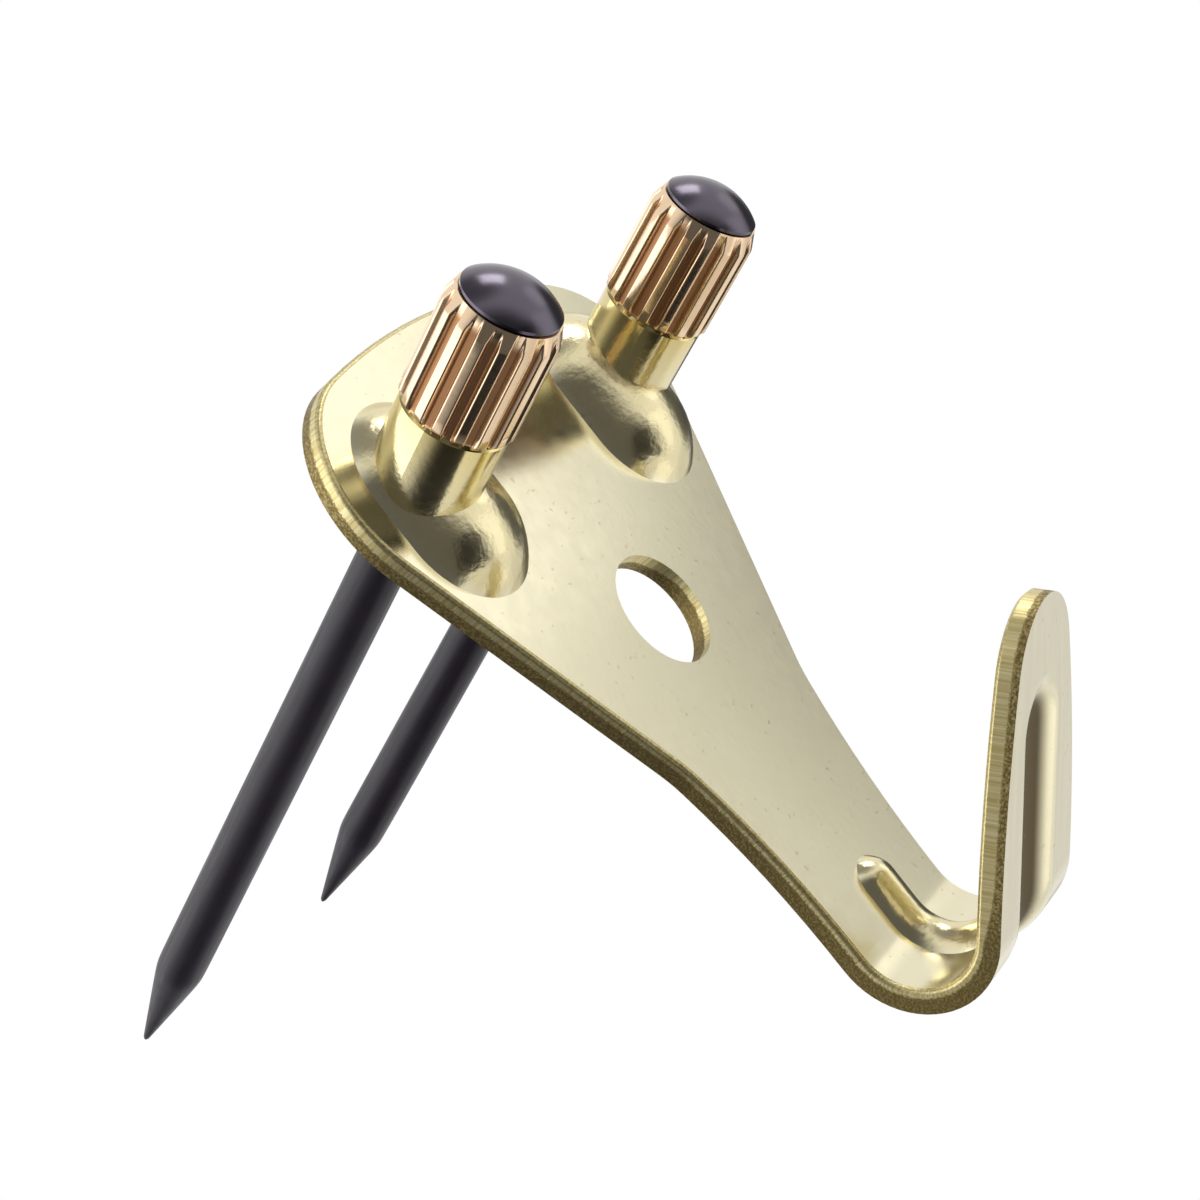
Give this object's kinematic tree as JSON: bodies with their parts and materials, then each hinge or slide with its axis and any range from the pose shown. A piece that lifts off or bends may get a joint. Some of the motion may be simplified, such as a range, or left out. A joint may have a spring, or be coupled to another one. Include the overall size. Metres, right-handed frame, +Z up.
{
  "type": "picture hook",
  "caption": "Pressed sheet-metal wall hook for hanging pictures, with an upturned ribbed lip and flared guide tubes carrying slanted hardened nails under fluted brass heads.",
  "frame": {"origin": "centre of the fixing hole, on the back face of the plate where it lies against the wall", "axes": "+Z up along the strap, +Y into the wall, front of the hook toward -Y, +X to the right of a person facing the wall"},
  "size_m": [0.0244, 0.0442, 0.034],
  "materials": {
    "plated_sheet": "pale brass-plated steel sheet, satin bright",
    "blued_steel": "black-blued hardened steel, semi-gloss",
    "turned_brass": "reddish brass, bright turned and fluted"
  },
  "bodies": {
    "root": {"hook_plate": "plated_sheet", "left_nail": "blued_steel", "right_nail": "blued_steel", "left_nail_sleeve": "turned_brass", "right_nail_sleeve": "turned_brass"}
  },
  "joints": []
}
